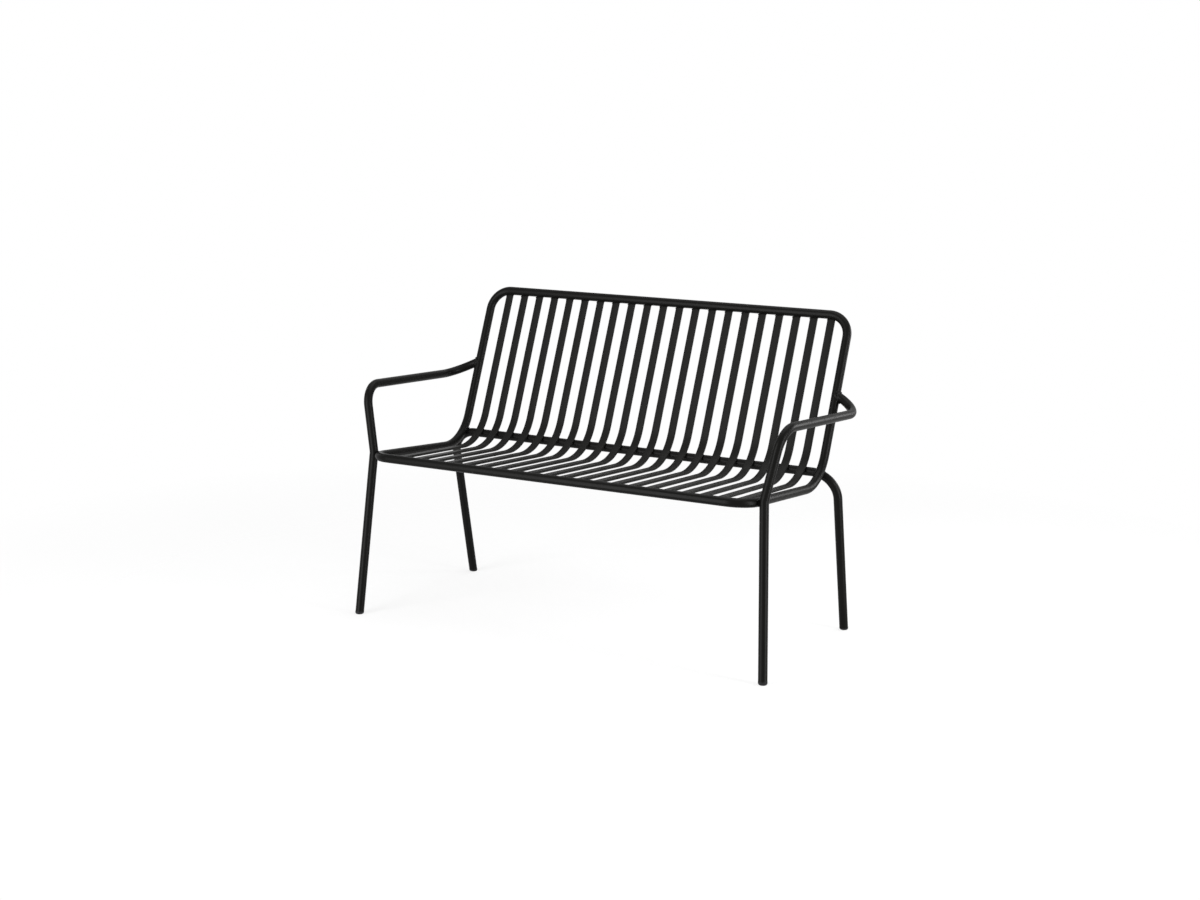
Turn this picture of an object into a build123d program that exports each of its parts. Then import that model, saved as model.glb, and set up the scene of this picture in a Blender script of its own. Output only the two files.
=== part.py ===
from build123d import *
import math
import os

os.makedirs("parts", exist_ok=True)

# A two-seat garden bench of bent round steel tube with flat bar slats.
# Millimetres, +Z up. The sitter faces -Y, and +X is at the sitter's left hand.
# The origin is on the floor, halfway between the front rail and the top rail.

# Tube and bar stock
TUBE_DIAMETER = 22.0
TUBE_WALL = 1.5
SLAT_WIDTH = 20.0
SLAT_THICKNESS = 6.0
SLAT_EDGE_RADIUS = 1.6

# Seat and back frame, measured between tube centres
FRAME_WIDTH = 1038.0
FRAME_DEPTH = 582.0
FRONT_RAIL_HEIGHT = 419.0
SEAT_DEPTH = 419.5
SEAT_FALL = 33.2
TOP_RAIL_HEIGHT = 787.0
SEAT_BACK_RADIUS = 113.0
FRONT_CORNER_RADIUS = 53.5
TOP_CORNER_RADIUS = 54.0

# Slats
SLAT_COUNT = 21
SLAT_END_SPACE = 50.0
SLAT_SETBACK = 4.0
SLAT_CORNER_RISE = 9.4
SLAT_BEND_RADIUS = 121.0

# Rear tube with the rear legs, one bent tube
REAR_TUBE_TURN_SHARE = 0.64
REAR_CORNER_OUT = 38.4
REAR_CORNER_RADIUS = 65.0
REAR_FOOT_OUT = 36.9
REAR_FOOT_SETBACK = 531.0

# Front legs with the arms, one bent tube each side
FRONT_FOOT_OUT = 48.2
FRONT_FOOT_SETBACK = 8.0
LEG_KINK_SETBACK = 43.5
LEG_KINK_RISE = 2.0
LEG_KINK_RADIUS = 30.0
ARM_FRONT_OUT = 54.7
ARM_FRONT_SETBACK = 58.2
ARM_FRONT_HEIGHT = 587.7
ARM_FRONT_RADIUS = 55.5
ARM_BACK_RADIUS = 75.0
ARM_END_STRAIGHT = 2.0
ARM_END_DROP_ANGLE = 27.1
ARM_END_FORWARD_ANGLE = 2.1
ARM_JOINT_SHARE = 0.535

# Glides, plastic plugs in the four leg ends
GLIDE_DIAMETER = 22.4
GLIDE_HEIGHT = 8.0
GLIDE_EDGE_RADIUS = 5.0
GLIDE_STEM_LENGTH = 16.0
GLIDE_STEM_CLEARANCE = 0.15

# Weld beads, fits and the overrun of cutting shapes
WELD_LEG = 2.6
WELD_TOE = 0.6
WELD_ROOT = 4.0
REAR_BEAD_REACH = 6.0
FIT_GAP = 0.15
OVERRUN = 40.0

# Values worked out from the sizes above
TUBE_RADIUS = TUBE_DIAMETER / 2
TUBE_BORE_RADIUS = TUBE_RADIUS - TUBE_WALL
SIDE_X = FRAME_WIDTH / 2
FRONT_Y = -FRAME_DEPTH / 2
TOP_Y = FRAME_DEPTH / 2
SLAT_PITCH = (FRAME_WIDTH - 2 * SLAT_END_SPACE) / (SLAT_COUNT - 1)


def in_side_view(y, z):
    return Vector(0, y, z)


def at_x(point, x):
    return Vector(x, point.Y, point.Z)


def square_down(direction):
    # The side-view direction square to a line, pointing below the seat and behind the back
    return in_side_view(direction.Z, -direction.Y)


FRONT_POINT = in_side_view(FRONT_Y, FRONT_RAIL_HEIGHT)
CORNER_POINT = in_side_view(FRONT_Y + SEAT_DEPTH, FRONT_RAIL_HEIGHT - SEAT_FALL)
TOP_POINT = in_side_view(TOP_Y, TOP_RAIL_HEIGHT)
SEAT_DIRECTION = (CORNER_POINT - FRONT_POINT).normalized()
BACK_DIRECTION = (TOP_POINT - CORNER_POINT).normalized()
SEAT_DOWN = square_down(SEAT_DIRECTION)
BACK_REAR = square_down(BACK_DIRECTION)

# The slats' own side line: they start below the front rail's centre, end behind the
# top rail's centre, and bend a little higher than the side tubes
SLAT_CORNER_SPREAD = SLAT_SETBACK / (1 + SEAT_DOWN.dot(BACK_REAR))
SLAT_FRONT_POINT = FRONT_POINT + SEAT_DOWN * SLAT_SETBACK
SLAT_TOP_POINT = TOP_POINT + BACK_REAR * SLAT_SETBACK
SLAT_CORNER_POINT = (
    CORNER_POINT
    + (SEAT_DOWN + BACK_REAR) * SLAT_CORNER_SPREAD
    + BACK_DIRECTION * SLAT_CORNER_RISE
)
SLAT_SEAT_DIRECTION = (SLAT_CORNER_POINT - SLAT_FRONT_POINT).normalized()
SLAT_BACK_DIRECTION = (SLAT_TOP_POINT - SLAT_CORNER_POINT).normalized()
SLAT_SEAT_DOWN = square_down(SLAT_SEAT_DIRECTION)
SLAT_TURN = math.radians(SLAT_SEAT_DIRECTION.get_angle(SLAT_BACK_DIRECTION))
SLAT_BEND_CENTRE = (
    SLAT_CORNER_POINT
    - SLAT_SEAT_DIRECTION * (SLAT_BEND_RADIUS * math.tan(SLAT_TURN / 2))
    - SLAT_SEAT_DOWN * SLAT_BEND_RADIUS
)

# The rear tube lies against the back faces of the slats, part way round their bend
REAR_TUBE_TURN = SLAT_TURN * REAR_TUBE_TURN_SHARE
REAR_TUBE_DIRECTION = (
    SLAT_SEAT_DOWN * math.cos(REAR_TUBE_TURN)
    + SLAT_SEAT_DIRECTION * math.sin(REAR_TUBE_TURN)
)
REAR_TUBE_REACH = SLAT_BEND_RADIUS + SLAT_THICKNESS / 2 + FIT_GAP + TUBE_RADIUS
REAR_TUBE_POINT = SLAT_BEND_CENTRE + REAR_TUBE_DIRECTION * REAR_TUBE_REACH

# The front legs touch the outside of the frame's front corners
CORNER_REMAINDER = max(0, FRONT_CORNER_RADIUS - LEG_KINK_SETBACK)
LEG_KINK_REACH = FRONT_CORNER_RADIUS + TUBE_DIAMETER + FIT_GAP
LEG_KINK_X = (
    SIDE_X
    - FRONT_CORNER_RADIUS
    + math.sqrt(LEG_KINK_REACH**2 - CORNER_REMAINDER**2)
)


def swept_tube(path, outer, inner=None):
    # A round tube, or a round bar, along straight runs and tangent arcs
    start = Plane(origin=path @ 0, z_dir=path % 0)
    section = Circle(outer) if inner is None else Circle(outer) - Circle(inner)
    return sweep(start * section, path=path).solid()


def tube_stock(path):
    return swept_tube(path, TUBE_RADIUS, TUBE_BORE_RADIUS)


def tube_cutter(path):
    return swept_tube(path, TUBE_RADIUS + FIT_GAP)


def frame_half_path(side):
    # From the middle of the front rail, round one side, to the middle of the top rail
    return FilletPolyline(
        FRONT_POINT,
        at_x(FRONT_POINT, side * SIDE_X),
        at_x(CORNER_POINT, side * SIDE_X),
        at_x(TOP_POINT, side * SIDE_X),
        TOP_POINT,
        radius=[FRONT_CORNER_RADIUS, SEAT_BACK_RADIUS, TOP_CORNER_RADIUS],
    )


def rear_path():
    # Up one rear leg, along behind the slats and down the other
    corner_x = SIDE_X + REAR_CORNER_OUT
    foot_x = SIDE_X + REAR_FOOT_OUT
    foot = in_side_view(FRONT_Y + REAR_FOOT_SETBACK, 0)
    return FilletPolyline(
        at_x(foot, -foot_x),
        at_x(REAR_TUBE_POINT, -corner_x),
        at_x(REAR_TUBE_POINT, corner_x),
        at_x(foot, foot_x),
        radius=[REAR_CORNER_RADIUS, REAR_CORNER_RADIUS],
    )


def arm_joint_point():
    # Where the arm's centre line meets the side tube's, on the straight of the back
    rise = (TOP_POINT - CORNER_POINT) * ARM_JOINT_SHARE
    return at_x(CORNER_POINT + rise, SIDE_X)


def arm_end_direction():
    # From the joint out along the arm's last run: outward, down and a little forward
    drop = math.radians(ARM_END_DROP_ANGLE)
    forward = math.radians(ARM_END_FORWARD_ANGLE)
    level = math.cos(drop)
    return Vector(level * math.cos(forward), -level * math.sin(forward), -math.sin(drop))


def arm_back_corner(front_corner):
    # The last run is as long as its half of the bend needs, plus a short straight
    joint = arm_joint_point()
    outward = arm_end_direction()
    first_guess = joint + outward * (ARM_BACK_RADIUS + ARM_END_STRAIGHT)
    turn = math.radians((first_guess - front_corner).get_angle(-outward))
    length = ARM_BACK_RADIUS * math.tan(turn / 2) + ARM_END_STRAIGHT
    return joint + outward * length


def front_path():
    # Up the left front leg, along its arm and in to the back
    kink_z = FRONT_RAIL_HEIGHT + LEG_KINK_RISE
    front_corner = Vector(SIDE_X + ARM_FRONT_OUT, FRONT_Y + ARM_FRONT_SETBACK, ARM_FRONT_HEIGHT)
    return FilletPolyline(
        Vector(SIDE_X + FRONT_FOOT_OUT, FRONT_Y + FRONT_FOOT_SETBACK, 0),
        Vector(LEG_KINK_X, FRONT_Y + LEG_KINK_SETBACK, kink_z),
        front_corner,
        arm_back_corner(front_corner),
        arm_joint_point(),
        radius=[LEG_KINK_RADIUS, ARM_FRONT_RADIUS, ARM_BACK_RADIUS],
    )


def foot_plane(path, end):
    # On the floor at a leg's end, with its normal up the leg
    inward = path % end if end == 0 else -(path % end)
    return Plane(origin=path @ end, z_dir=inward)


def leg_end_cutter(plane):
    # Takes the foot of a leg off square to it, at the top of the glide
    length = GLIDE_HEIGHT + OVERRUN
    raised = plane.offset(GLIDE_HEIGHT - length / 2)
    return raised * Cylinder(TUBE_DIAMETER, length)


def glide(plane):
    # A rounded foot with a stem in the tube's bore, cut flat where it meets the floor
    edge = GLIDE_EDGE_RADIUS
    radius = GLIDE_DIAMETER / 2
    stem_radius = TUBE_BORE_RADIUS - GLIDE_STEM_CLEARANCE
    below = GLIDE_HEIGHT
    foot = Cylinder(radius, GLIDE_HEIGHT + below, align=(Align.CENTER, Align.CENTER, Align.MIN))
    foot = Pos(0, 0, -below) * foot
    stem = Cylinder(stem_radius, GLIDE_STEM_LENGTH, align=(Align.CENTER, Align.CENTER, Align.MIN))
    stem = Pos(0, 0, GLIDE_HEIGHT) * stem
    body = plane * (foot + stem)
    ground_size = OVERRUN + OVERRUN
    ground = Pos(plane.origin.X, plane.origin.Y, -ground_size / 2) * Box(
        ground_size, ground_size, ground_size
    )
    body = (body - ground).solid()
    rim = body.edges().group_by(Axis.Z)[0]
    return fillet(rim, edge).solid()


def slat_path():
    return FilletPolyline(
        SLAT_FRONT_POINT,
        SLAT_CORNER_POINT,
        SLAT_TOP_POINT,
        radius=[SLAT_BEND_RADIUS],
    )


def slat_blank():
    # A flat bar with rounded edges, bent to the seat and back, in the middle of the bench
    path = slat_path()
    start = Plane(origin=path @ 0, x_dir=(1, 0, 0), z_dir=path % 0)
    section = RectangleRounded(SLAT_WIDTH, SLAT_THICKNESS, SLAT_EDGE_RADIUS)
    return sweep(start * section, path=path).solid()


def slat_end_bead(plane):
    # A tapered collar round a slat's end, from inside the rail to clear of it
    tip = TUBE_RADIUS + WELD_LEG
    root = TUBE_RADIUS - WELD_ROOT
    foot_section = RectangleRounded(
        SLAT_WIDTH + 2 * WELD_LEG,
        SLAT_THICKNESS + 2 * WELD_LEG,
        SLAT_EDGE_RADIUS + WELD_LEG / 2,
    )
    tip_section = RectangleRounded(
        SLAT_WIDTH + WELD_TOE,
        SLAT_THICKNESS + WELD_TOE,
        SLAT_EDGE_RADIUS + WELD_TOE / 2,
    )
    foot_face = (plane.offset(root) * foot_section).face()
    tip_face = (plane.offset(tip) * tip_section).face()
    return loft([foot_face, tip_face], ruled=True)


def slat_end_planes():
    # At the rails' centre planes, with the normal along the slat towards its middle
    path = slat_path()
    front = Plane(origin=path @ 0, x_dir=(1, 0, 0), z_dir=path % 0)
    top = Plane(origin=path @ 1, x_dir=(1, 0, 0), z_dir=-(path % 1))
    return front, top


def rear_bead_block():
    # A block behind the middle slat, where the rear tube lies against it
    contact = SLAT_BEND_CENTRE + REAR_TUBE_DIRECTION * (SLAT_BEND_RADIUS + SLAT_THICKNESS / 2)
    plane = Plane(origin=contact, x_dir=(1, 0, 0), z_dir=REAR_TUBE_DIRECTION)
    width = SLAT_WIDTH - 2 * SLAT_EDGE_RADIUS
    return plane * Box(width, 2 * REAR_BEAD_REACH, 2 * WELD_LEG)


def tube_bead(joining_path, main_path):
    # A weld bead where one tube meets another: what the coats round the two share
    joining_coat = swept_tube(joining_path, TUBE_RADIUS + WELD_LEG, TUBE_RADIUS)
    main_radius = TUBE_RADIUS + FIT_GAP
    main_coat = swept_tube(main_path, main_radius + WELD_LEG, main_radius)
    return (joining_coat & main_coat).solids()


def slat_places():
    middle = (SLAT_COUNT - 1) / 2
    return [(index - middle) * SLAT_PITCH for index in range(SLAT_COUNT)]


def bead_share(x):
    # The third of the bench that a slat's three beads belong to
    middle_half_width = SLAT_COUNT * SLAT_PITCH / 6
    if abs(x) < middle_half_width:
        return "middle"
    return "left" if x > 0 else "right"


def in_mirror(shape):
    # The same piece on the other side of the bench
    return mirror(shape, about=Plane.YZ)


def largest(shape):
    return max(shape.solids(), key=lambda piece: piece.volume)


def save(shape, name):
    export_step(shape, f"parts/{name}.step")


def save_group(pieces, name):
    export_step(Compound(children=pieces), f"parts/{name}.step")


# Seat and back frame: two mirrored halves of one tube, butt welded at the rails' middles
frame_paths = {side: frame_half_path(side) for side in (-1, 1)}
frame_halves = [tube_stock(path) for path in frame_paths.values()]
seat_back_frame = (frame_halves[0] + frame_halves[1]).solid()
frame_cutters = {side: tube_cutter(path) for side, path in frame_paths.items()}
save(seat_back_frame, "seat_back_frame")

# Slats, each cut to the rails at both ends, with a weld bead round each end
blank = slat_blank()
front_plane, top_plane = slat_end_planes()
rear_line = rear_path()
rear_solid = swept_tube(rear_line, TUBE_RADIUS)
end_bead_blanks = [slat_end_bead(plane) - blank for plane in (front_plane, top_plane)]
rear_bead_blank = (rear_bead_block() - blank - rear_solid).solids()
slat_beads = {"left": [], "middle": [], "right": []}
for number, x in enumerate(slat_places(), start=1):
    side = -1 if x < 0 else 1
    cutters = [frame_cutters[side]]
    if abs(x) < SLAT_PITCH:
        cutters.append(frame_cutters[-side])
    slat = Pos(x, 0, 0) * blank
    for cutter in cutters:
        slat = slat - cutter
    save(largest(slat), f"slat_{number:02d}")
    beads = slat_beads[bead_share(x)]
    for end_bead_blank in end_bead_blanks:
        bead = Pos(x, 0, 0) * end_bead_blank
        for cutter in cutters:
            bead = bead - cutter
        beads.append(largest(bead))
    beads += [Pos(x, 0, 0) * piece for piece in rear_bead_blank]
for share, beads in slat_beads.items():
    save_group(beads, f"weld_beads_slats_{share}")

# Rear tube with the rear legs, notched where the two side tubes pass
rear_tube = tube_stock(rear_line)
for cutter in frame_cutters.values():
    rear_tube = rear_tube - cutter
rear_planes = [foot_plane(rear_line, 0), foot_plane(rear_line, 1)]
for plane in rear_planes:
    rear_tube = rear_tube - leg_end_cutter(plane)
save(largest(rear_tube), "rear_leg_hoop")

# Front legs with the arms, coped to the side tubes of the back: the left and its mirror
front_line = front_path()
front_foot = foot_plane(front_line, 0)
front_left = largest(tube_stock(front_line) - frame_cutters[1] - leg_end_cutter(front_foot))
save(front_left, "front_leg_arm_left")
save(in_mirror(front_left), "front_leg_arm_right")

# Weld beads where the tubes meet, on the left and mirrored
front_beads = tube_bead(front_line, frame_paths[1])
rear_corner_beads = tube_bead(rear_line, frame_paths[1])
save_group(front_beads + [in_mirror(bead) for bead in front_beads], "weld_beads_legs_and_arms")
save_group(
    rear_corner_beads + [in_mirror(bead) for bead in rear_corner_beads],
    "weld_beads_rear_tube_sides",
)

# Glides
front_glide = glide(front_foot)
rear_glide = glide(rear_planes[1])
save(front_glide, "glide_front_left")
save(in_mirror(front_glide), "glide_front_right")
save(rear_glide, "glide_rear_left")
save(in_mirror(rear_glide), "glide_rear_right")
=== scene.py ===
import math

import bpy
from mathutils import Matrix, Vector


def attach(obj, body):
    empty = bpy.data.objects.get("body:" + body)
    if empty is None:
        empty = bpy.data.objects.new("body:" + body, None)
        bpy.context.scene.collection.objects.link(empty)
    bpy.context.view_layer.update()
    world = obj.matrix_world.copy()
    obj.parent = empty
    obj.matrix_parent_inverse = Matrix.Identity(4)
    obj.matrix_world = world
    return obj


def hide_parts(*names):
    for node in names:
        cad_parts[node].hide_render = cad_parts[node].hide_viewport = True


bl_info = {
    "name": "Garden Bench",
    "version": (1, 0, 0),
    "blender": (4, 5, 0),
    "location": "View3D > Sidebar > Bench",
    "description": "Finishes the packed garden bench: tubes, slats, feet, welds and studio",
    "category": "Object",
}

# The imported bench, in metres, +Z up, its front towards -Y and its left arm at +X
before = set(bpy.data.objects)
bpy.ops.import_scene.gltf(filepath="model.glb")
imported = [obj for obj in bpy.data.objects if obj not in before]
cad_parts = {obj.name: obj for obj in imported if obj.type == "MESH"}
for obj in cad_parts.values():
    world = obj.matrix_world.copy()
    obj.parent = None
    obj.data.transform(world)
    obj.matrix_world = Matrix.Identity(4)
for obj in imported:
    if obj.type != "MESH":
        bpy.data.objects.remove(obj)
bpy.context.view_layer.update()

# Seat and back frame, between tube centres
FRAME_WIDTH = 1.038
FRAME_DEPTH = 0.582
FRONT_RAIL_HEIGHT = 0.419
SEAT_DEPTH = 0.4195
SEAT_FALL = 0.0332
TOP_RAIL_HEIGHT = 0.787
SEAT_BACK_RADIUS = 0.113
FRONT_CORNER_RADIUS = 0.0535
TOP_CORNER_RADIUS = 0.054

# Slats
SLAT_COUNT = 21
SLAT_END_SPACE = 0.050
SLAT_SETBACK = 0.0040
SLAT_CORNER_RISE = 0.0094
SLAT_BEND_RADIUS = 0.1210

# Rear tube and legs
REAR_TUBE_TURN_SHARE = 0.64
REAR_TUBE_REACH = 0.13515
REAR_CORNER_OUT = 0.0384
REAR_CORNER_RADIUS = 0.065
REAR_FOOT_OUT = 0.0369
REAR_FOOT_SETBACK = 0.531

# Front legs and arms
FRONT_FOOT_OUT = 0.0482
FRONT_FOOT_SETBACK = 0.008
LEG_KINK_OUT = 0.02149
LEG_KINK_SETBACK = 0.0435
LEG_KINK_RISE = 0.002
LEG_KINK_RADIUS = 0.030
ARM_FRONT_OUT = 0.0547
ARM_FRONT_SETBACK = 0.0582
ARM_FRONT_HEIGHT = 0.5877
ARM_FRONT_RADIUS = 0.0555
ARM_BACK_RADIUS = 0.075
ARM_END_STRAIGHT = 0.002
ARM_END_DROP_ANGLE = math.radians(27.1)
ARM_END_FORWARD_ANGLE = math.radians(2.1)
ARM_JOINT_SHARE = 0.535

# Glides
GLIDE_RADIUS = 0.0112
GLIDE_HEIGHT = 0.008
GLIDE_EDGE_RADIUS = 0.005
GLIDE_OVERRUN_SHARE = 2
GLIDE_STEM_LENGTH = 0.016
GLIDE_STEM_CLEARANCE = 0.00015

# Weld beads, and the thirds of the bench that share a piece, from the right
COAT_DIFFERENCE = 0.0001
WELD_EASE_SHARE = 0.5
WELD_EASE_ROUNDS = 6
REAR_BEAD_ANGLE = math.radians(33)
REAR_BEAD_LIFT_SHARE = 0.57
REAR_BEAD_END_SHARE = 0.8
BEAD_GROUPS = ("right", "middle", "left")

# How finely round forms are drawn
TUBE_SIDES = 40
BEND_STEP = math.radians(5)
FEWEST_BEND_STEPS = 3
SLAT_EDGE_SEGMENTS = 4
GLIDE_EDGE_SEGMENTS = 8
ROPE_CORNER_SEGMENTS = 3
ROPE_SIDE_CUTS = 2
ROPE_SECTION_STEPS = 2
REAR_BEAD_SIDES = 12
REAR_BEAD_END_SEGMENTS = 3
SMOOTH_ANGLE = math.radians(40)

# What counts as one point, as the same place and as the same way
MERGE_DISTANCE = 0.00001
NEAR = 0.0002
SAME_WAY = 0.99

# Where the camera stands for the photograph's view, and how it is turned
CAMERA_TURN = math.radians(28.8639)
CAMERA_DROP = math.radians(12.43749)
CAMERA_ROLL = math.radians(0.779)
CAMERA_REFERENCE = Vector((0.0, 0.0027736, 0.3916981))
CAMERA_OFFSET = Vector((0.01966088, -0.07759897, 4.76801837))
PHOTO_WIDTH = 1200
PHOTO_HEIGHT = 900
PIXELS_TO_FOCUS = 1894.3543
AXIS_PIXEL = (600.5, 500.5)
SENSOR_WIDTH = 36.0
SIGHT_LENGTH = 100

# The lamps: place, the point that each faces, width and height, and power
LAMPS = {
    "lamp_above": ((0.2, 0.3, 3.0), (0, 0, 0.4), (2.6, 2.0), 40),
    "lamp_right": ((2.7, -0.3, 0.6), (0, 0, 0.6), (0.6, 2.6), 82),
    "lamp_back_right": ((1.5, 1.4, 0.95), (0.55, 0, 0.5), (0.7, 0.7), 15),
    "lamp_front": ((-1.08, -2.9, 0.7), (0, 0, 0.7), (1.6, 4.0), 160),
}

# The floor, where it fades out, and how much of its look is plain white to the camera
FLOOR_RADIUS = 2.4
FLOOR_SIDES = 96
FLOOR_FADE = (0.75, 2.2)
FLOOR_WHITE_SHARE = 0.75
FLOOR_ROUGHNESS = 0.9

# The background's light as it is seen and mirrored, and as it falls on the bench
SEEN_LIGHT = 1.0
ROOM_LIGHT = 0.3

# Noises: scale, detail and roughness
PEEL_NOISE = (620, 2.0, 0.45)
FINE_NOISE = (2100, 2.0, 0.5)
PATCH_NOISE = (9, 3.0, 0.55)
SPECK_NOISE = (1500, 1.0, 0.5)
GRAIN_NOISE = (1700, 3.0, 0.6)
BLOT_NOISE = (160, 2.0, 0.5)
FLOOR_NOISE = (3.0, 2.0, 0.5)

# The part of a noise's range that is used, and what it is spread to
MIDDLE_RANGE = (0.3, 0.7)
SPECK_RANGE = (0.35, 0.75)
PATCH_TONES = (-0.12, 0.12)
SPECK_TONES = (-0.10, 0.16)
PATCH_ROUGHNESS = (-0.035, 0.035)
FINE_ROUGHNESS = (-0.03, 0.03)
BLOT_TONES = (0.9, 1.1)
FLOOR_TONES = (0.975, 0.985)

# The coat and the plastic: gloss, bump strength and depth, and what varies on them
SPECULAR_LEVEL = 0.058
COAT_BUMP = (0.6, 0.00005)
PLASTIC_BUMP = (0.5, 0.00004)
FINE_SHARE = 0.3
SLAT_EXTRA_ROUGHNESS = 0.04
SLAT_PATCH_SHARE = 0.6
RIPPLES_PER_METRE = 520.0
RIPPLE_SMOOTHNESS = 0.6
RIPPLE_SHARE = 6.0
SCUFF_HEIGHT = 0.004
SCUFF_COLOUR = (0.05, 0.05, 0.05, 1)
SCUFF_RANGE = (0.0, 0.6)
PLASTIC_ROUGHNESS = (0.55, 0.75)

SIDE_X = FRAME_WIDTH / 2
FRONT_Y = -FRAME_DEPTH / 2


def in_side_view(y, z):
    return Vector((0, y, z))


def at_x(point, x):
    return Vector((x, point.y, point.z))


def square_down(direction):
    return in_side_view(direction.z, -direction.y)


FRONT_POINT = in_side_view(FRONT_Y, FRONT_RAIL_HEIGHT)
CORNER_POINT = in_side_view(FRONT_Y + SEAT_DEPTH, FRONT_RAIL_HEIGHT - SEAT_FALL)
TOP_POINT = in_side_view(FRAME_DEPTH / 2, TOP_RAIL_HEIGHT)


def square_to(along):
    """A turn that takes Z along a side-view direction and leaves X across the bench."""
    across = Vector((1, 0, 0))
    return Matrix((across, along.cross(across), along)).transposed()


def slat_pitch():
    return (FRAME_WIDTH - 2 * SLAT_END_SPACE) / (SLAT_COUNT - 1)


def first_slat_x():
    return -slat_pitch() * (SLAT_COUNT - 1) / 2


def slat_corners():
    """The slats' side line: below the front rail's centre, up to behind the top rail's."""
    seat = (CORNER_POINT - FRONT_POINT).normalized()
    back = (TOP_POINT - CORNER_POINT).normalized()
    down, rear = square_down(seat), square_down(back)
    spread = SLAT_SETBACK / (1 + down.dot(rear))
    corner = CORNER_POINT + (down + rear) * spread + back * SLAT_CORNER_RISE
    return [FRONT_POINT + down * SLAT_SETBACK, corner, TOP_POINT + rear * SLAT_SETBACK]


def slat_bend():
    """The slats' bend: its seat direction, its turn and its centre."""
    front, corner, top = slat_corners()
    seat = (corner - front).normalized()
    turn = seat.angle(top - corner)
    tangent = SLAT_BEND_RADIUS * math.tan(turn / 2)
    return seat, turn, corner - seat * tangent - square_down(seat) * SLAT_BEND_RADIUS


def rear_tube_point():
    """The rear tube's centre, against the slats part way round their bend."""
    seat, turn, centre = slat_bend()
    lean = turn * REAR_TUBE_TURN_SHARE
    outward = square_down(seat) * math.cos(lean) + seat * math.sin(lean)
    return centre + outward * REAR_TUBE_REACH


def front_leg_corners():
    """Up the left front leg, along its arm and in to the back."""
    joint = at_x(CORNER_POINT.lerp(TOP_POINT, ARM_JOINT_SHARE), SIDE_X)
    level = math.cos(ARM_END_DROP_ANGLE)
    outward = Vector((
        level * math.cos(ARM_END_FORWARD_ANGLE),
        -level * math.sin(ARM_END_FORWARD_ANGLE),
        -math.sin(ARM_END_DROP_ANGLE),
    ))
    foot = Vector((SIDE_X + FRONT_FOOT_OUT, FRONT_Y + FRONT_FOOT_SETBACK, 0))
    kink_z = FRONT_RAIL_HEIGHT + LEG_KINK_RISE
    kink = Vector((SIDE_X + LEG_KINK_OUT, FRONT_Y + LEG_KINK_SETBACK, kink_z))
    arm_front = Vector((SIDE_X + ARM_FRONT_OUT, FRONT_Y + ARM_FRONT_SETBACK, ARM_FRONT_HEIGHT))
    first_guess = joint + outward * (ARM_BACK_RADIUS + ARM_END_STRAIGHT)
    turn = (first_guess - arm_front).angle(-outward)
    run = ARM_BACK_RADIUS * math.tan(turn / 2) + ARM_END_STRAIGHT
    return [foot, kink, arm_front, joint + outward * run, joint]


def rear_leg_corners():
    """Up the right rear leg, along behind the slats and down the left one."""
    foot = in_side_view(FRONT_Y + REAR_FOOT_SETBACK, 0)
    tube = rear_tube_point()
    foot_x, corner_x = SIDE_X + REAR_FOOT_OUT, SIDE_X + REAR_CORNER_OUT
    return [at_x(foot, -foot_x), at_x(tube, -corner_x), at_x(tube, corner_x), at_x(foot, foot_x)]


class BenchSizes(bpy.types.PropertyGroup):
    tube_diameter: bpy.props.FloatProperty(
        name="Tube Diameter",
        description="Outside diameter of the round tube",
        default=0.022,
        unit="LENGTH",
    )
    tube_wall: bpy.props.FloatProperty(
        name="Tube Wall", description="Wall of the round tube", default=0.0015, unit="LENGTH"
    )
    slat_width: bpy.props.FloatProperty(
        name="Slat Width", description="Width of the flat bar", default=0.020, unit="LENGTH"
    )
    slat_thickness: bpy.props.FloatProperty(
        name="Slat Thickness",
        description="Thickness of the flat bar",
        default=0.006,
        unit="LENGTH",
    )
    slat_edge: bpy.props.FloatProperty(
        name="Slat Edge",
        description="Radius of the flat bar's rolled edges",
        default=0.0016,
        unit="LENGTH",
    )
    bead_radius: bpy.props.FloatProperty(
        name="Bead Radius",
        description="Radius of the weld beads on the slats",
        default=0.0015,
        unit="LENGTH",
    )
    weld_leg: bpy.props.FloatProperty(
        name="Weld Leg",
        description="How far the beads between tubes reach over them",
        default=0.0026,
        unit="LENGTH",
    )
    weld_grain: bpy.props.FloatProperty(
        name="Weld Grain",
        description="How finely the beads between tubes are drawn",
        default=0.0006,
        unit="LENGTH",
    )


class BenchFinish(bpy.types.PropertyGroup):
    coat_colour: bpy.props.FloatVectorProperty(
        name="Coat",
        description="Colour of the powder coat on the tubes",
        default=(0.003, 0.0029, 0.0026),
        subtype="COLOR",
    )
    # The slats carry the tubes' black coat, painted lighter: painted light standing in for the
    # light that their flat faces catch.
    slat_colour_painted_lighter: bpy.props.FloatVectorProperty(
        name="Slat Coat Painted Lighter",
        description="Colour of the powder coat on the slats",
        default=(0.0068, 0.0067, 0.0062),
        subtype="COLOR",
    )
    plastic_colour: bpy.props.FloatVectorProperty(
        name="Glides",
        description="Colour of the plastic glides",
        default=(0.0120, 0.0120, 0.0125),
        subtype="COLOR",
    )
    coat_roughness: bpy.props.FloatProperty(
        name="Coat Roughness",
        description="How matt the powder coat is",
        default=0.37,
        subtype="FACTOR",
    )
    studio_colour: bpy.props.FloatVectorProperty(
        name="Studio",
        description="Colour of the floor and the background",
        default=(1.0, 1.0, 1.0),
        subtype="COLOR",
    )


def join(tree, source, output, target, entry):
    tree.links.new(source.outputs[output], target.inputs[entry])


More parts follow.
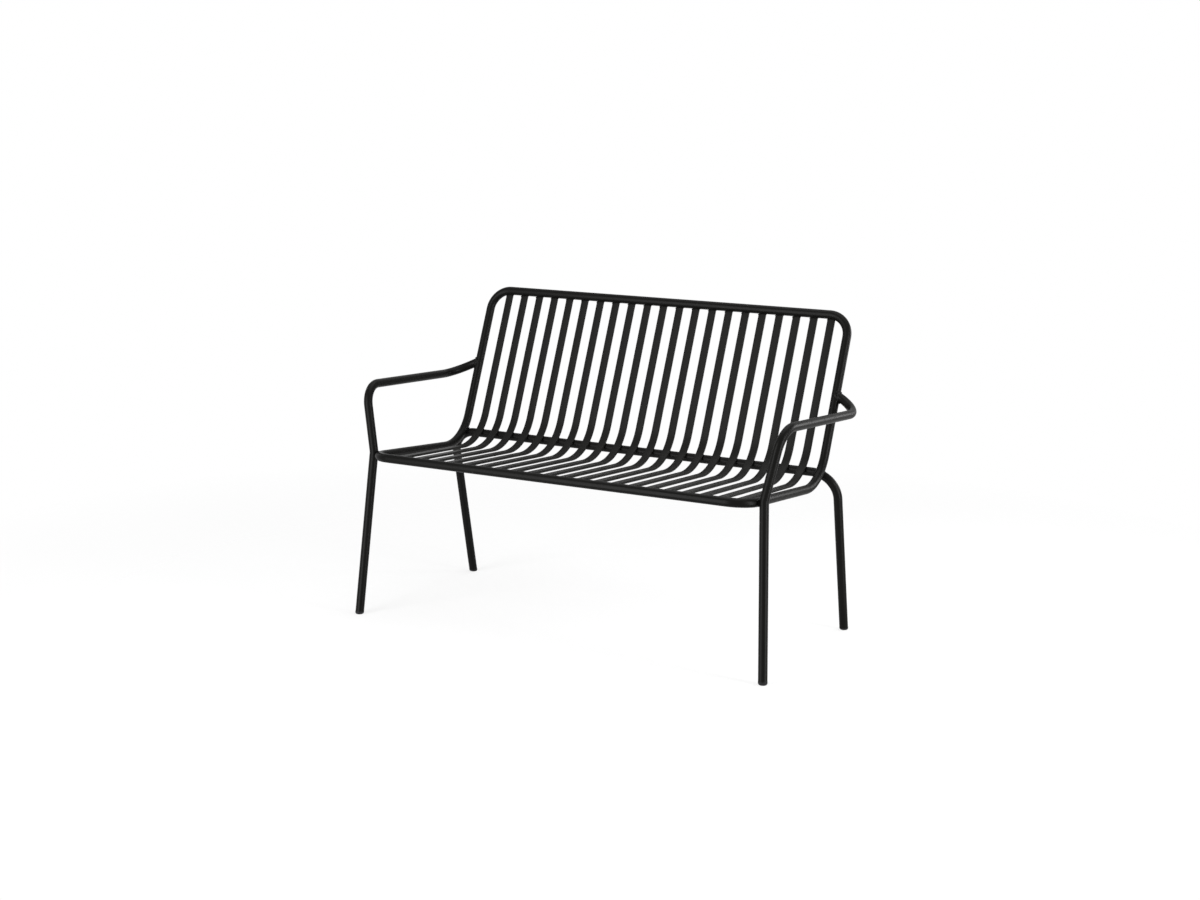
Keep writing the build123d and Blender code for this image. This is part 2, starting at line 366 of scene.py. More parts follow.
def new_group(name, inputs, outputs):
    """An empty shader node group with number inputs, and its end nodes."""
    group = bpy.data.node_groups.new(name, "ShaderNodeTree")
    for label, value in inputs:
        entry = group.interface.new_socket(label, in_out="INPUT", socket_type="NodeSocketFloat")
        entry.default_value = value
    for label in outputs:
        group.interface.new_socket(label, in_out="OUTPUT", socket_type="NodeSocketFloat")
    return group, group.nodes.new("NodeGroupInput"), group.nodes.new("NodeGroupOutput")


def noise(tree, place, kind):
    """A noise on object coordinates."""
    scale, detail, roughness = kind
    texture = tree.nodes.new("ShaderNodeTexNoise")
    texture.inputs["Scale"].default_value = scale
    texture.inputs["Detail"].default_value = detail
    texture.inputs["Roughness"].default_value = roughness
    join(tree, place, "Object", texture, "Vector")
    return texture


def math_node(tree, operation, first, second=None, value=None):
    node = tree.nodes.new("ShaderNodeMath")
    node.operation = operation
    tree.links.new(first, node.inputs[0])
    if second is not None:
        tree.links.new(second, node.inputs[1])
    if value is not None:
        node.inputs[1].default_value = value
    return node.outputs[0]


def spread(tree, value, old_range, new_range):
    """Maps a value from one range to another, held within it."""
    node = tree.nodes.new("ShaderNodeMapRange")
    node.inputs["From Min"].default_value = old_range[0]
    node.inputs["From Max"].default_value = old_range[1]
    node.inputs["To Min"].default_value = new_range[0]
    node.inputs["To Max"].default_value = new_range[1]
    tree.links.new(value, node.inputs["Value"])
    return node.outputs["Result"]


def powder_skin():
    """Powder coat's surface: orange peel height, tone patches and a roughness that varies."""
    group, given, out = new_group(
        "powder skin",
        [("Peel", 1.0), ("Matt", 1.0), ("Patch", 1.0)],
        ["Height", "Tone", "Roughness"],
    )
    place = group.nodes.new("ShaderNodeTexCoord")
    peel = noise(group, place, PEEL_NOISE)
    fine = noise(group, place, FINE_NOISE)
    patch = noise(group, place, PATCH_NOISE)
    speck = noise(group, place, SPECK_NOISE)
    fine_part = math_node(group, "MULTIPLY", fine.outputs["Fac"], value=FINE_SHARE)
    height = math_node(group, "ADD", peel.outputs["Fac"], fine_part)
    peel_height = math_node(group, "MULTIPLY", height, given.outputs["Peel"])
    tone_patch = spread(group, patch.outputs["Fac"], MIDDLE_RANGE, PATCH_TONES)
    tone_patch = math_node(group, "MULTIPLY", tone_patch, given.outputs["Patch"])
    tone_speck = spread(group, speck.outputs["Fac"], SPECK_RANGE, SPECK_TONES)
    tone = math_node(group, "ADD", tone_patch, tone_speck)
    tone = math_node(group, "ADD", tone, value=1.0)
    rough_patch = spread(group, patch.outputs["Fac"], MIDDLE_RANGE, PATCH_ROUGHNESS)
    rough_fine = spread(group, fine.outputs["Fac"], MIDDLE_RANGE, FINE_ROUGHNESS)
    rough = math_node(group, "ADD", rough_patch, rough_fine)
    rough = math_node(group, "ADD", rough, given.outputs["Matt"])
    group.links.new(peel_height, out.inputs["Height"])
    group.links.new(tone, out.inputs["Tone"])
    group.links.new(rough, out.inputs["Roughness"])
    return group


def weld_ripple():
    """The overlapping ripples of a weld bead under the coat."""
    group, given, out = new_group("weld ripple", [("Ripples", RIPPLES_PER_METRE)], ["Height"])
    place = group.nodes.new("ShaderNodeTexCoord")
    cells = group.nodes.new("ShaderNodeTexVoronoi")
    cells.feature = "SMOOTH_F1"
    cells.inputs["Smoothness"].default_value = RIPPLE_SMOOTHNESS
    join(group, given, "Ripples", cells, "Scale")
    join(group, place, "Object", cells, "Vector")
    group.links.new(cells.outputs["Distance"], out.inputs["Height"])
    return group


def moulded_skin():
    """Moulded plastic: a fine spark-eroded grain and scuffs low down on the foot."""
    outputs = ["Height", "Tone", "Scuff"]
    group, given, out = new_group("moulded skin", [("Grain", GRAIN_NOISE[0])], outputs)
    place = group.nodes.new("ShaderNodeTexCoord")
    grain = noise(group, place, GRAIN_NOISE)
    join(group, given, "Grain", grain, "Scale")
    blot = noise(group, place, BLOT_NOISE)
    parts = group.nodes.new("ShaderNodeSeparateXYZ")
    join(group, place, "Object", parts, "Vector")
    low = spread(group, parts.outputs["Z"], (0, SCUFF_HEIGHT), (1, 0))
    scuff = math_node(group, "MULTIPLY", low, blot.outputs["Fac"])
    tone = spread(group, blot.outputs["Fac"], MIDDLE_RANGE, BLOT_TONES)
    group.links.new(grain.outputs["Fac"], out.inputs["Height"])
    group.links.new(tone, out.inputs["Tone"])
    group.links.new(scuff, out.inputs["Scuff"])
    return group


def placed(tree, group, **values):
    node = tree.nodes.new("ShaderNodeGroup")
    node.node_tree = group
    for label, value in values.items():
        node.inputs[label].default_value = value
    return node


def toned(tree, colour, tone):
    """A colour made lighter and darker by a varying tone."""
    node = tree.nodes.new("ShaderNodeVectorMath")
    node.operation = "SCALE"
    node.inputs[0].default_value = colour
    tree.links.new(tone, node.inputs["Scale"])
    return node.outputs["Vector"]


def bumped(tree, height, kind, shader):
    strength, distance = kind
    bump = tree.nodes.new("ShaderNodeBump")
    bump.inputs["Strength"].default_value = strength
    bump.inputs["Distance"].default_value = distance
    tree.links.new(height, bump.inputs["Height"])
    join(tree, bump, "Normal", shader, "Normal")


def coat_material(name, colour, skin, matt, patch, ripple=None):
    """Satin powder coat over steel, with the weld's ripples showing through where given."""
    material = bpy.data.materials.new(name)
    material.use_nodes = True
    tree = material.node_tree
    shader = tree.nodes["Principled BSDF"]
    shader.inputs["Specular IOR Level"].default_value = SPECULAR_LEVEL
    surface = placed(tree, skin, Matt=matt, Patch=patch)
    tree.links.new(toned(tree, colour, surface.outputs["Tone"]), shader.inputs["Base Color"])
    join(tree, surface, "Roughness", shader, "Roughness")
    height = surface.outputs["Height"]
    if ripple is not None:
        beads = placed(tree, ripple)
        raised = math_node(tree, "MULTIPLY", beads.outputs["Height"], value=RIPPLE_SHARE)
        height = math_node(tree, "ADD", raised, height)
    bumped(tree, height, COAT_BUMP, shader)
    return material


def plastic_material(colour, skin):
    """Matt black moulded plastic, paler where it has scuffed on the floor."""
    material = bpy.data.materials.new("glide plastic")
    material.use_nodes = True
    tree = material.node_tree
    shader = tree.nodes["Principled BSDF"]
    shader.inputs["Specular IOR Level"].default_value = SPECULAR_LEVEL
    surface = placed(tree, skin)
    mix = tree.nodes.new("ShaderNodeMix")
    mix.data_type = "RGBA"
    mix.inputs["B"].default_value = SCUFF_COLOUR
    join(tree, surface, "Scuff", mix, "Factor")
    tree.links.new(toned(tree, colour, surface.outputs["Tone"]), mix.inputs["A"])
    join(tree, mix, "Result", shader, "Base Color")
    rough = spread(tree, surface.outputs["Scuff"], SCUFF_RANGE, PLASTIC_ROUGHNESS)
    tree.links.new(rough, shader.inputs["Roughness"])
    bumped(tree, surface.outputs["Height"], PLASTIC_BUMP, shader)
    return material


def finishes():
    """The bench's materials, made once and found by name after that."""
    if "powder coat tubes" not in bpy.data.materials:
        finish = bpy.context.scene.bench_finish
        skin, ripple, moulded = powder_skin(), weld_ripple(), moulded_skin()
        matt = finish.coat_roughness
        slat_matt = matt + SLAT_EXTRA_ROUGHNESS
        coat_material("powder coat tubes", finish.coat_colour, skin, matt, 1)
        # Same coat as the tubes, in a lighter colour: painted light for the light on the slats'
        # flat faces.
        coat_material("powder coat slats", finish.slat_colour_painted_lighter, skin, slat_matt, SLAT_PATCH_SHARE)
        coat_material("powder coat welds", finish.coat_colour, skin, matt, 1, ripple)
        plastic_material(finish.plastic_colour, moulded)
    return bpy.data.materials


def edit_all():
    """Enters edit mode with every vertex selected."""
    bpy.ops.object.mode_set(mode="EDIT")
    bpy.ops.mesh.select_mode(type="VERT")
    bpy.ops.mesh.select_all(action="SELECT")


def only(piece):
    """Selects one piece alone."""
    bpy.ops.object.select_all(action="DESELECT")
    piece.select_set(True)
    bpy.context.view_layer.objects.active = piece


def start_piece(name):
    """Names the primitive just added, at the origin, ready for edit mode."""
    piece = bpy.context.object
    piece.name = name
    piece.data.name = name
    bpy.ops.object.transform_apply(location=True, rotation=True, scale=True)
    return piece


def new_ring(name, centre, along, radius):
    """A ring of the tube's section at the start of its line."""
    bpy.ops.object.select_all(action="DESELECT")
    turn = along.to_track_quat("Z", "Y").to_euler()
    bpy.ops.mesh.primitive_circle_add(
        vertices=TUBE_SIDES, radius=radius, fill_type="NOTHING", location=centre, rotation=turn
    )
    return start_piece(name)


def chosen_centre():
    """The middle of what is selected in edit mode."""
    mesh = bpy.context.object.data
    bpy.context.object.update_from_editmode()
    points = [vertex.co for vertex in mesh.vertices if vertex.select]
    return sum(points, Vector()) / len(points)


def draw_on(step):
    bpy.ops.mesh.extrude_region_move(
        TRANSFORM_OT_translate={"value": step, "orient_type": "GLOBAL"}
    )


def draw_along(corners, radii):
    """Draws the selected ring along straight runs and round tangent bends."""
    here = corners[0]
    for corner, after, radius in zip(corners[1:-1], corners[2:], radii):
        along = (corner - here).normalized()
        onward = (after - corner).normalized()
        turn = along.angle(onward)
        setback = radius * math.tan(turn / 2)
        axis = along.cross(onward).normalized()
        bend_start = corner - along * setback
        draw_on(bend_start - here)
        centre = bend_start + axis.cross(along) * radius
        steps = max(FEWEST_BEND_STEPS, math.ceil(turn / BEND_STEP))
        bpy.ops.mesh.spin(steps=steps, angle=-turn, center=centre, axis=axis)
        here = corner + onward * setback
    draw_on(corners[-1] - here)
    missed = (chosen_centre() - corners[-1]).length
    if missed > NEAR:
        raise RuntimeError(f"the line's end is {missed:.5f} m from its place")


def pick(piece, kind, test):
    """In edit mode, selects only the faces or edges that pass a test."""
    bpy.ops.mesh.select_mode(type=kind)
    bpy.ops.mesh.select_all(action="DESELECT")
    bpy.ops.object.mode_set(mode="OBJECT")
    mesh = piece.data
    for item in mesh.polygons if kind == "FACE" else mesh.edges:
        item.select = test(item)
    bpy.ops.object.mode_set(mode="EDIT")


def close_and_smooth():
    """Closes the active piece's open ends, turns its faces outward and smooths round ones."""
    edit_all()
    bpy.ops.mesh.remove_doubles(threshold=MERGE_DISTANCE)
    bpy.ops.mesh.fill_holes(sides=0)
    bpy.ops.mesh.select_all(action="SELECT")
    bpy.ops.mesh.normals_make_consistent(inside=False)
    bpy.ops.object.mode_set(mode="OBJECT")
    bpy.ops.object.shade_smooth_by_angle(angle=SMOOTH_ANGLE)


def hand_over(piece, material, slot, *nodes):
    """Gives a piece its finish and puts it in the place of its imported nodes."""
    piece.data.materials.clear()
    piece.data.materials.append(finishes()[material])
    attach(piece, "root")
    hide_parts(*nodes)


def hollow_end(piece, centre, along, wall, depth):
    """Gives a tube's closed end its wall and bore."""
    bpy.ops.object.mode_set(mode="EDIT")

    def at_end(face):
        flat = abs(face.normal.dot(along)) > SAME_WAY
        return flat and (face.center - centre).length < NEAR

    pick(piece, "FACE", at_end)
    bpy.ops.mesh.inset(thickness=wall)
    draw_on(along * depth)
    bpy.ops.object.mode_set(mode="OBJECT")


def mirrored_copy(piece, name):
    """The same piece on the other side of the bench, with its own mesh."""
    only(piece)
    bpy.ops.object.duplicate()
    copy = bpy.context.object
    copy.name = name
    copy.data.name = name
    copy.scale.x = -1
    bpy.ops.object.transform_apply(location=False, rotation=False, scale=True)
    close_and_smooth()
    return copy


class BENCH_OT_seat_back_tube(bpy.types.Operator):
    """Bends the closed tube round the seat and the back"""

    bl_idname = "bench.seat_back_tube"
    bl_label = "Seat and Back Tube"

    def execute(self, context):
        sizes = context.scene.bench_sizes
        line = [at_x(FRONT_POINT, SIDE_X), at_x(CORNER_POINT, SIDE_X), at_x(TOP_POINT, SIDE_X)]
        line += [at_x(point, -SIDE_X) for point in (TOP_POINT, CORNER_POINT, FRONT_POINT)]
        radii = [FRONT_CORNER_RADIUS, SEAT_BACK_RADIUS, TOP_CORNER_RADIUS]
        ring = new_ring("seat_back_tube", FRONT_POINT, Vector((1, 0, 0)), sizes.tube_diameter / 2)
        edit_all()
        draw_along([FRONT_POINT, *line, FRONT_POINT], radii + radii[::-1])
        bpy.ops.object.mode_set(mode="OBJECT")
        close_and_smooth()
        hand_over(ring, "powder coat tubes", "black_powder_coat", "seat_back_frame")
        return {"FINISHED"}


def leg_end(foot, next_corner):
    """Where a leg's tube stops above the floor, and the way up the leg."""
    up = (next_corner - foot).normalized()
    return foot + up * GLIDE_HEIGHT, up


class BENCH_OT_front_legs(bpy.types.Operator):
    """Bends the two front legs with their arms"""

    bl_idname = "bench.front_legs"
    bl_label = "Front Legs and Arms"

    def execute(self, context):
        sizes = context.scene.bench_sizes
        corners = front_leg_corners()
        start, up = leg_end(corners[0], corners[1])
        left = new_ring("left_leg_and_arm", start, up, sizes.tube_diameter / 2)
        edit_all()
        radii = [LEG_KINK_RADIUS, ARM_FRONT_RADIUS, ARM_BACK_RADIUS]
        draw_along([start, *corners[1:]], radii)
        bpy.ops.object.mode_set(mode="OBJECT")
        close_and_smooth()
        hollow_end(left, start, up, sizes.tube_wall, GLIDE_STEM_LENGTH + GLIDE_HEIGHT)
        right = mirrored_copy(left, "right_leg_and_arm")
        hand_over(left, "powder coat tubes", "black_powder_coat", "front_leg_arm_left")
        hand_over(right, "powder coat tubes", "black_powder_coat", "front_leg_arm_right")
        return {"FINISHED"}


class BENCH_OT_rear_legs(bpy.types.Operator):
    """Bends the rear legs and the tube behind the slats in one"""

    bl_idname = "bench.rear_legs"
    bl_label = "Rear Legs"

    def execute(self, context):
        sizes = context.scene.bench_sizes
        corners = rear_leg_corners()
        start, up = leg_end(corners[0], corners[1])
        end, last_up = leg_end(corners[3], corners[2])
        hoop = new_ring("rear_legs_tube", start, up, sizes.tube_diameter / 2)
        edit_all()
        radii = [REAR_CORNER_RADIUS, REAR_CORNER_RADIUS]
        draw_along([start, corners[1], corners[2], end], radii)
        bpy.ops.object.mode_set(mode="OBJECT")
        close_and_smooth()
        depth = GLIDE_STEM_LENGTH + GLIDE_HEIGHT
        hollow_end(hoop, start, up, sizes.tube_wall, depth)
        hollow_end(hoop, end, last_up, sizes.tube_wall, depth)
        hand_over(hoop, "powder coat tubes", "black_powder_coat", "rear_leg_hoop")
        return {"FINISHED"}


class BENCH_OT_slats(bpy.types.Operator):
    """Bends one slat from flat bar and copies it across the bench"""

    bl_idname = "bench.slats"
    bl_label = "Slats"

    def execute(self, context):
        sizes = context.scene.bench_sizes
        pitch = slat_pitch()
        corners = [at_x(point, first_slat_x()) for point in slat_corners()]
        along = (corners[1] - corners[0]).normalized()
        bpy.ops.object.select_all(action="DESELECT")
        bpy.ops.mesh.primitive_plane_add(size=1, location=corners[0])
        slat = bpy.context.object
        slat.rotation_euler = square_to(along).to_euler()
        slat.scale = (sizes.slat_width, sizes.slat_thickness, 1)
        start_piece("bar_01")
        edit_all()
        bpy.ops.mesh.bevel(
            offset=sizes.slat_edge, segments=SLAT_EDGE_SEGMENTS, affect="VERTICES"
        )
        bpy.ops.mesh.select_all(action="SELECT")
        bpy.ops.mesh.delete(type="ONLY_FACE")
        bpy.ops.mesh.select_all(action="SELECT")
        draw_along(corners, [SLAT_BEND_RADIUS])
        bpy.ops.object.mode_set(mode="OBJECT")
        close_and_smooth()
        bars = [slat]
        for number in range(2, SLAT_COUNT + 1):
            bpy.ops.object.duplicate_move(TRANSFORM_OT_translate={"value": (pitch, 0, 0)})
            copy = bpy.context.object
            copy.name = f"bar_{number:02d}"
            copy.data.name = copy.name
            bpy.ops.object.transform_apply(location=True, rotation=False, scale=False)
            bars.append(copy)
        for number, bar in enumerate(bars, start=1):
            node = f"slat_{number:02d}"
            hand_over(bar, "powder coat slats", "black_powder_coat_slats", node)
        return {"FINISHED"}


class BENCH_OT_glides(bpy.types.Operator):
    """Makes the plastic glides in the four leg ends"""

    bl_idname = "bench.glides"
    bl_label = "Glides"

    def execute(self, context):
        sizes = context.scene.bench_sizes
        front, rear = front_leg_corners(), rear_leg_corners()
        ends = {"front": (front[0], front[1]), "rear": (rear[3], rear[2])}
        for end, (foot, corner) in ends.items():
            top, up = leg_end(foot, corner)
            left = self.one_glide(f"left_{end}_foot", top, up, sizes)
            right = mirrored_copy(left, f"right_{end}_foot")
            hand_over(left, "glide plastic", "black_plastic", f"glide_{end}_left")
            hand_over(right, "glide plastic", "black_plastic", f"glide_{end}_right")
        return {"FINISHED"}

    def one_glide(self, name, top, up, sizes):
        glide = new_ring(name, top, up, GLIDE_RADIUS)
        edit_all()
        bpy.ops.mesh.edge_face_add()
        draw_on(-up * GLIDE_HEIGHT * GLIDE_OVERRUN_SHARE)
        bpy.ops.mesh.select_all(action="SELECT")
        bpy.ops.mesh.bisect(
            plane_co=(0, 0, 0), plane_no=(0, 0, -1), use_fill=True, clear_outer=True
        )
        points = glide.data.vertices

        def on_floor(edge):
            return all(abs(points[index].co.z) < NEAR for index in edge.vertices)

        pick(glide, "EDGE", on_floor)
        bpy.ops.mesh.bevel(offset=GLIDE_EDGE_RADIUS, segments=GLIDE_EDGE_SEGMENTS)
        stem_radius = sizes.tube_diameter / 2 - sizes.tube_wall - GLIDE_STEM_CLEARANCE

        def on_top(face):
            flat = abs(face.normal.dot(up)) > SAME_WAY
            return flat and (face.center - top).length < NEAR

        pick(glide, "FACE", on_top)
        bpy.ops.mesh.inset(thickness=GLIDE_RADIUS - stem_radius)
        draw_on(up * GLIDE_STEM_LENGTH)
        bpy.ops.object.mode_set(mode="OBJECT")
        close_and_smooth()
        return glide


def plain_copy(piece, name):
    """A copy of a piece with its own mesh, which stands for no node."""
    only(piece)
    bpy.ops.object.duplicate()
    copy = bpy.context.object
    copy.name = name
    copy.data.name = name
    for key in [key for key in copy.keys() if key.startswith("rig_")]:
        del copy[key]
    return copy


def apply_modifier(piece, kind, **settings):
    modifier = piece.modifiers.new(kind.title(), kind)
    for name, value in settings.items():
        setattr(modifier, name, value)
    bpy.ops.object.modifier_apply(modifier=modifier.name)


def fattened(name, thickness):
    """A copy of a tube grown outward by a thickness."""
    coat = plain_copy(bpy.data.objects[name], name + "_coat")
    edit_all()
    bpy.ops.transform.shrink_fatten(value=thickness)
    bpy.ops.object.mode_set(mode="OBJECT")
    return coat


def tube_bead(name, joining, main, sizes):
    """The beads where two tubes touch: what their coats share, eased round."""
    joining_coat = fattened(joining, sizes.weld_leg)
    main_coat = fattened(main, sizes.weld_leg + COAT_DIFFERENCE)
    bead = plain_copy(joining_coat, name)
    apply_modifier(bead, "BOOLEAN", operation="INTERSECT", solver="EXACT", object=main_coat)
    apply_modifier(bead, "REMESH", mode="VOXEL", voxel_size=sizes.weld_grain)
    apply_modifier(bead, "SMOOTH", factor=WELD_EASE_SHARE, iterations=WELD_EASE_ROUNDS)
    for coat in (joining_coat, main_coat):
        bpy.data.objects.remove(coat)
    only(bead)
    bpy.ops.object.shade_smooth()
    return bead


def rail_bead(slat_end, along, rail, sizes):
    """A rope of weld metal round a slat, where it meets a rail."""
    bpy.ops.object.select_all(action="DESELECT")
    bpy.ops.mesh.primitive_plane_add(
        size=1,
        location=slat_end + along * sizes.tube_diameter,
        rotation=square_to(along).to_euler(),
    )
    loop = bpy.context.object
    loop.scale = (sizes.slat_width, sizes.slat_thickness, 1)
    bpy.ops.object.transform_apply(location=False, rotation=False, scale=True)
    edit_all()
    bpy.ops.mesh.bevel(offset=sizes.slat_edge, segments=ROPE_CORNER_SEGMENTS, affect="VERTICES")
    bpy.ops.mesh.select_all(action="SELECT")
    bpy.ops.mesh.delete(type="ONLY_FACE")
    bpy.ops.mesh.select_all(action="SELECT")
    bpy.ops.mesh.subdivide(number_cuts=ROPE_SIDE_CUTS)
    bpy.ops.object.mode_set(mode="OBJECT")
    apply_modifier(
        loop,
        "SHRINKWRAP",
        wrap_method="PROJECT",
        use_project_z=True,
        use_negative_direction=True,
        use_positive_direction=False,
        target=rail,
    )
    bpy.ops.object.transform_apply(location=True, rotation=True, scale=True)
    bpy.ops.object.convert(target="CURVE")
    loop.data.bevel_depth = sizes.bead_radius
    loop.data.bevel_resolution = ROPE_SECTION_STEPS
    bpy.ops.object.convert(target="MESH")
    return bpy.context.object


def rear_bead(x, side, sizes):
    """A short straight bead between a slat's back and the rear tube, above or below."""
    centre = slat_bend()[-1]
    tube = rear_tube_point()
    towards_slat = (centre - tube).normalized()
    lean = Matrix.Rotation(side * REAR_BEAD_ANGLE, 3, "X")
    out = sizes.tube_diameter / 2 + sizes.bead_radius * REAR_BEAD_LIFT_SHARE
    bpy.ops.object.select_all(action="DESELECT")
    bpy.ops.mesh.primitive_cylinder_add(
        vertices=REAR_BEAD_SIDES,
        radius=sizes.bead_radius,
        depth=sizes.slat_width - sizes.slat_edge,
        location=at_x(tube + lean @ towards_slat * out, x),
        rotation=(0, math.pi / 2, 0),
    )
    bead = start_piece("rear_bead")
    end_rounding = sizes.bead_radius * REAR_BEAD_END_SHARE
    apply_modifier(bead, "BEVEL", width=end_rounding, segments=REAR_BEAD_END_SEGMENTS)
    return bead


class BENCH_OT_welds(bpy.types.Operator):
    """Lays the weld beads where tubes and slats meet"""

    bl_idname = "bench.welds"
    bl_label = "Weld Beads"

    def execute(self, context):
        sizes = context.scene.bench_sizes
        finish = ("powder coat welds", "black_powder_coat")
        for name, bead in self.slat_beads(sizes).items():
            hand_over(bead, *finish, name)
        left = tube_bead("bead_left_arm_and_leg", "left_leg_and_arm", "seat_back_tube", sizes)
        right = mirrored_copy(left, "bead_right_arm_and_leg")
        for bead in (left, right):
            hand_over(bead, *finish, "weld_beads_legs_and_arms")
        rear = tube_bead("bead_rear_tube_sides", "rear_legs_tube", "seat_back_tube", sizes)
        hand_over(rear, *finish, "weld_beads_rear_tube_sides")
        return {"FINISHED"}

    def slat_beads(self, sizes):
        """One slat's four beads, repeated over each third of the bench."""
        pitch = slat_pitch()
        first_x = first_slat_x()
        front, corner, top = [at_x(point, first_x) for point in slat_corners()]
        rail = bpy.data.objects["seat_back_tube"]
        parts = [
            rail_bead(front, (corner - front).normalized(), rail, sizes),
            rail_bead(top, (corner - top).normalized(), rail, sizes),
            rear_bead(first_x, 1, sizes),
            rear_bead(first_x, -1, sizes),
        ]
        bpy.ops.object.select_all(action="DESELECT")
        for part in parts:
            part.select_set(True)
        bpy.ops.object.join()
        beads = bpy.context.object
        group_count = SLAT_COUNT // len(BEAD_GROUPS)
        apply_modifier(
            beads,
            "ARRAY",
            count=group_count,
            use_relative_offset=False,
            use_constant_offset=True,
            constant_offset_displace=(pitch, 0, 0),
        )
        close_and_smooth()
        groups = {}
        for group in BEAD_GROUPS:
            beads.name = f"bead_slats_{group}"
            beads.data.name = beads.name
            groups[f"weld_beads_slats_{group}"] = beads
            if group != BEAD_GROUPS[-1]:
                beads = plain_copy(beads, "next_beads")
                beads.location.x = group_count * pitch
                bpy.ops.object.transform_apply(location=True, rotation=False, scale=False)
        return groups


def softbox(name, place, aim, size, power):
    """A rectangular soft lamp that faces a point at the bench."""
    turn = (Vector(aim) - Vector(place)).to_track_quat("-Z", "Y").to_euler()
    bpy.ops.object.light_add(type="AREA", location=place, rotation=turn)
    lamp = bpy.context.object
    lamp.name = name
    lamp.data.shape = "RECTANGLE"
    lamp.data.size, lamp.data.size_y = size
    lamp.data.energy = power
    lamp.visible_camera = False


def floor_material(colour):
    """A pale floor that keeps the bench's shadow and fades into the background."""
    material = bpy.data.materials.new("studio floor")
    material.use_nodes = True
    tree = material.node_tree
    shader = tree.nodes["Principled BSDF"]
    shader.inputs["Roughness"].default_value = FLOOR_ROUGHNESS
    shader.inputs["Specular IOR Level"].default_value = 0
    place = tree.nodes.new("ShaderNodeTexCoord")
    distance = tree.nodes.new("ShaderNodeVectorMath")
    distance.operation = "LENGTH"
    join(tree, place, "Object", distance, "Vector")
    blot = noise(tree, place, FLOOR_NOISE)
    tone = spread(tree, blot.outputs["Fac"], MIDDLE_RANGE, FLOOR_TONES)
    tree.links.new(toned(tree, colour, tone), shader.inputs["Base Color"])
    near = spread(tree, distance.outputs["Value"], FLOOR_FADE, (1, 0))
    clear = tree.nodes.new("ShaderNodeBsdfTransparent")
    seen = tree.nodes.new("ShaderNodeEmission")
    seen.inputs["Color"].default_value = (*colour, 1)
    path = tree.nodes.new("ShaderNodeLightPath")
    share = math_node(tree, "MULTIPLY", path.outputs["Is Camera Ray"], value=FLOOR_WHITE_SHARE)
    lifted = tree.nodes.new("ShaderNodeMixShader")
    tree.links.new(share, lifted.inputs["Fac"])
    tree.links.new(shader.outputs["BSDF"], lifted.inputs[1])
    tree.links.new(seen.outputs["Emission"], lifted.inputs[2])
    mix = tree.nodes.new("ShaderNodeMixShader")
    tree.links.new(near, mix.inputs["Fac"])
    tree.links.new(clear.outputs["BSDF"], mix.inputs[1])
    tree.links.new(lifted.outputs["Shader"], mix.inputs[2])
    tree.links.new(mix.outputs["Shader"], tree.nodes["Material Output"].inputs["Surface"])
    return material


def studio_world(colour):
    """White to the camera and in reflections, and a plain soft light otherwise."""
    world = bpy.data.worlds.new("studio")
    bpy.context.scene.world = world
    world.use_nodes = True
    tree = world.node_tree
    seen = tree.nodes["Background"]
    seen.inputs["Color"].default_value = (*colour, 1)
    seen.inputs["Strength"].default_value = SEEN_LIGHT
    light = tree.nodes.new("ShaderNodeBackground")
    light.inputs["Color"].default_value = (*colour, 1)
    light.inputs["Strength"].default_value = ROOM_LIGHT
    path = tree.nodes.new("ShaderNodeLightPath")
    either = math_node(
        tree, "MAXIMUM", path.outputs["Is Camera Ray"], path.outputs["Is Glossy Ray"]
    )
    either = math_node(tree, "MAXIMUM", either, path.outputs["Is Transmission Ray"])
    mix = tree.nodes.new("ShaderNodeMixShader")
    tree.links.new(either, mix.inputs["Fac"])
    tree.links.new(light.outputs["Background"], mix.inputs[1])
    tree.links.new(seen.outputs["Background"], mix.inputs[2])
    tree.links.new(mix.outputs["Shader"], tree.nodes["World Output"].inputs["Surface"])


def photo_camera():
    """The camera where the photograph was taken from."""
    turned = Matrix.Rotation(CAMERA_TURN, 3, "Z")
    tipped = Matrix.Rotation(math.pi / 2 - CAMERA_DROP, 3, "X")
    rolled = Matrix.Rotation(CAMERA_ROLL, 3, "Z")
    facing = turned @ tipped @ rolled
    right, up, back = facing.col
    x, y, z = CAMERA_OFFSET
    place = CAMERA_REFERENCE - right * x + up * y + back * z
    bpy.ops.object.camera_add(location=place, rotation=facing.to_euler())
    camera = bpy.context.object
    camera.name = "photo_camera"
    camera.data.sensor_width = SENSOR_WIDTH
    camera.data.lens = PIXELS_TO_FOCUS * SENSOR_WIDTH / PHOTO_WIDTH
    camera.data.shift_x = (PHOTO_WIDTH / 2 - AXIS_PIXEL[0]) / PHOTO_WIDTH
    camera.data.shift_y = (AXIS_PIXEL[1] - PHOTO_HEIGHT / 2) / PHOTO_WIDTH
    camera.data.clip_end = SIGHT_LENGTH
    return camera


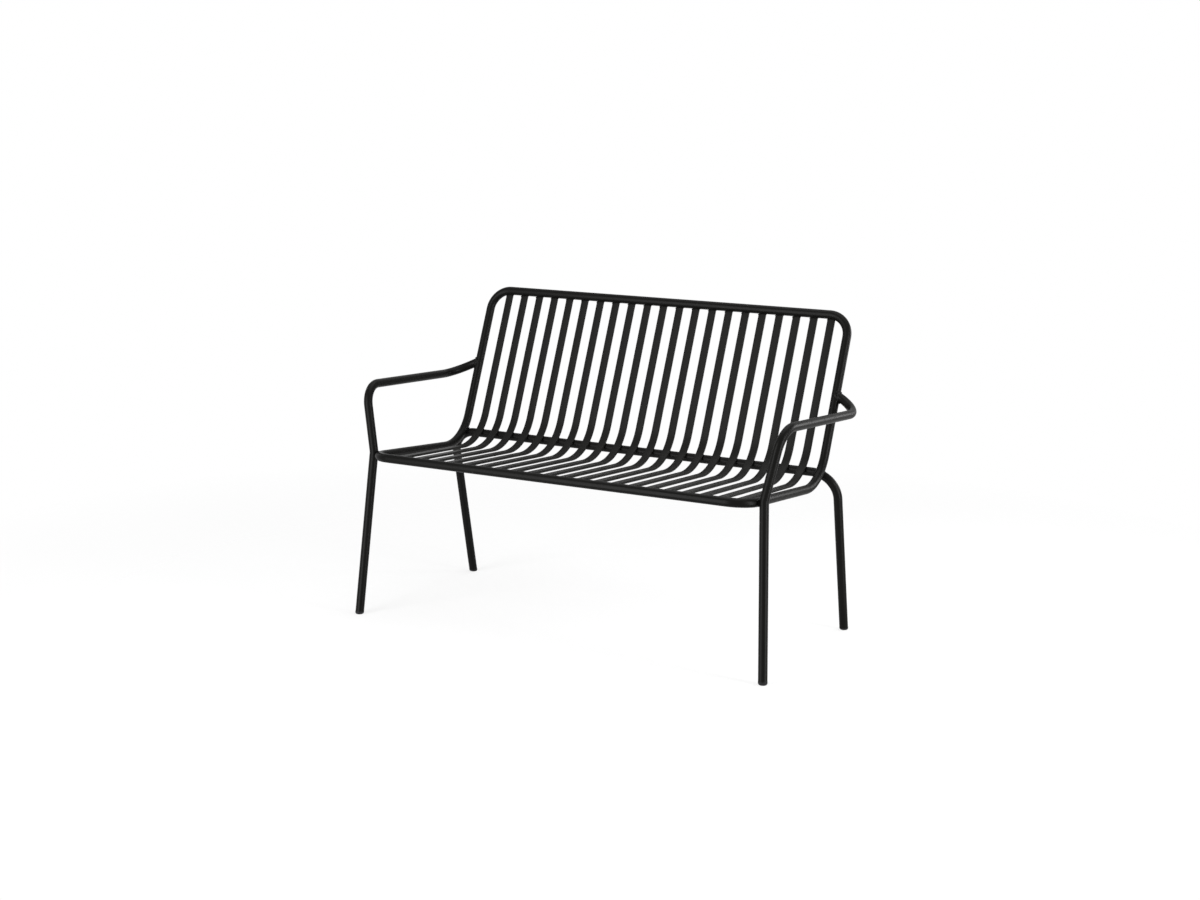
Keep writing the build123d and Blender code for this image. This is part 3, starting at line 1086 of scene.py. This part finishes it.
class BENCH_OT_stage(bpy.types.Operator):
    """Sets the floor, the soft lamps, the background and the camera"""

    bl_idname = "bench.stage"
    bl_label = "Studio"

    def execute(self, context):
        colour = context.scene.bench_finish.studio_colour
        bpy.ops.object.select_all(action="DESELECT")
        bpy.ops.mesh.primitive_circle_add(
            vertices=FLOOR_SIDES, radius=FLOOR_RADIUS, fill_type="NGON"
        )
        floor = start_piece("studio_floor")
        floor.data.materials.append(floor_material(colour))
        floor.visible_glossy = False
        floor.visible_shadow = False
        for name, lamp in LAMPS.items():
            softbox(name, *lamp)
        studio_world(colour)
        context.scene.camera = photo_camera()
        context.scene.view_settings.view_transform = "Standard"
        return {"FINISHED"}


class BENCH_PT_panel(bpy.types.Panel):
    bl_idname = "BENCH_PT_panel"
    bl_label = "Garden Bench"
    bl_space_type = "VIEW_3D"
    bl_region_type = "UI"
    bl_category = "Bench"

    def draw(self, context):
        for group in (context.scene.bench_sizes, context.scene.bench_finish):
            box = self.layout.box()
            for name in group.bl_rna.properties.keys():
                if name not in ("rna_type", "name"):
                    box.prop(group, name)
        for operator in OPERATORS:
            self.layout.operator(operator.bl_idname)


OPERATORS = (
    BENCH_OT_seat_back_tube,
    BENCH_OT_front_legs,
    BENCH_OT_rear_legs,
    BENCH_OT_slats,
    BENCH_OT_glides,
    BENCH_OT_welds,
    BENCH_OT_stage,
)
CLASSES = (BenchSizes, BenchFinish, *OPERATORS, BENCH_PT_panel)


def register():
    for each in CLASSES:
        bpy.utils.register_class(each)
    bpy.types.Scene.bench_sizes = bpy.props.PointerProperty(type=BenchSizes)
    bpy.types.Scene.bench_finish = bpy.props.PointerProperty(type=BenchFinish)


def unregister():
    del bpy.types.Scene.bench_finish
    del bpy.types.Scene.bench_sizes
    for each in reversed(CLASSES):
        bpy.utils.unregister_class(each)


def main():
    register()
    bpy.ops.bench.seat_back_tube()
    bpy.ops.bench.front_legs()
    bpy.ops.bench.rear_legs()
    bpy.ops.bench.slats()
    bpy.ops.bench.glides()
    bpy.ops.bench.welds()
    bpy.ops.bench.stage()
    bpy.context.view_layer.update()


if __name__ == "__main__":
    main()
